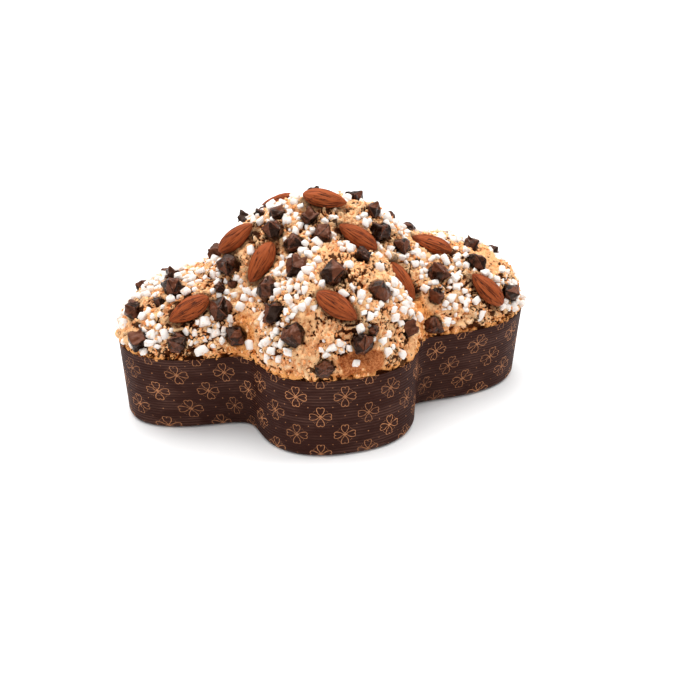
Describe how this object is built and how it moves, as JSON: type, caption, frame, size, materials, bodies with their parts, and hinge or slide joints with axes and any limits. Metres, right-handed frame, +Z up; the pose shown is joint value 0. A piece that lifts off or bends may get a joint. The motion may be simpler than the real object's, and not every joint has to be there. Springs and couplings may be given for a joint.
{
  "type": "dove-shaped easter cake",
  "caption": "Whole dove-shaped Easter cake in a corrugated paper case, domed and glazed, topped with pearl sugar, whole almonds and dark chocolate chunks.",
  "frame": {"origin": "middle of the whole object's box, at the level the case stands on", "axes": "+X along the dove from head to tail, +Y across to one wing, +Z up through the dome"},
  "size_m": [0.2414, 0.1708, 0.1276],
  "materials": {
    "paper": "dark brown corrugated baking paper with a fine copper-coloured line print",
    "crust": "cracked, crumbly pale glaze over an orange-brown crust, matte",
    "almond": "reddish brown almond skin with long furrows, satin",
    "chocolate": "dark chocolate, satin"
  },
  "bodies": {
    "root": {"paper_case": "paper", "cake": "crust", "almond_01": "almond", "almond_02": "almond", "almond_03": "almond", "almond_04": "almond", "almond_05": "almond", "almond_06": "almond", "almond_07": "almond", "almond_08": "almond", "almond_09": "almond", "almond_10": "almond", "almond_11": "almond", "almond_12": "almond", "chocolate_01": "chocolate", "chocolate_02": "chocolate", "chocolate_03": "chocolate", "chocolate_04": "chocolate", "chocolate_05": "chocolate", "chocolate_06": "chocolate", "chocolate_07": "chocolate", "chocolate_08": "chocolate", "chocolate_09": "chocolate", "chocolate_10": "chocolate", "chocolate_11": "chocolate", "chocolate_12": "chocolate", "chocolate_13": "chocolate", "chocolate_14": "chocolate", "chocolate_15": "chocolate", "chocolate_16": "chocolate", "chocolate_17": "chocolate", "chocolate_18": "chocolate", "chocolate_19": "chocolate", "chocolate_20": "chocolate", "chocolate_21": "chocolate", "chocolate_22": "chocolate", "chocolate_23": "chocolate", "chocolate_24": "chocolate", "chocolate_25": "chocolate", "chocolate_26": "chocolate", "chocolate_27": "chocolate", "chocolate_28": "chocolate", "chocolate_29": "chocolate", "chocolate_30": "chocolate", "chocolate_31": "chocolate", "chocolate_32": "chocolate", "chocolate_33": "chocolate", "chocolate_34": "chocolate", "chocolate_35": "chocolate", "chocolate_36": "chocolate", "chocolate_37": "chocolate", "chocolate_38": "chocolate", "chocolate_39": "chocolate", "chocolate_40": "chocolate", "chocolate_41": "chocolate", "chocolate_42": "chocolate", "chocolate_43": "chocolate", "chocolate_44": "chocolate", "chocolate_45": "chocolate", "chocolate_46": "chocolate"}
  },
  "joints": []
}
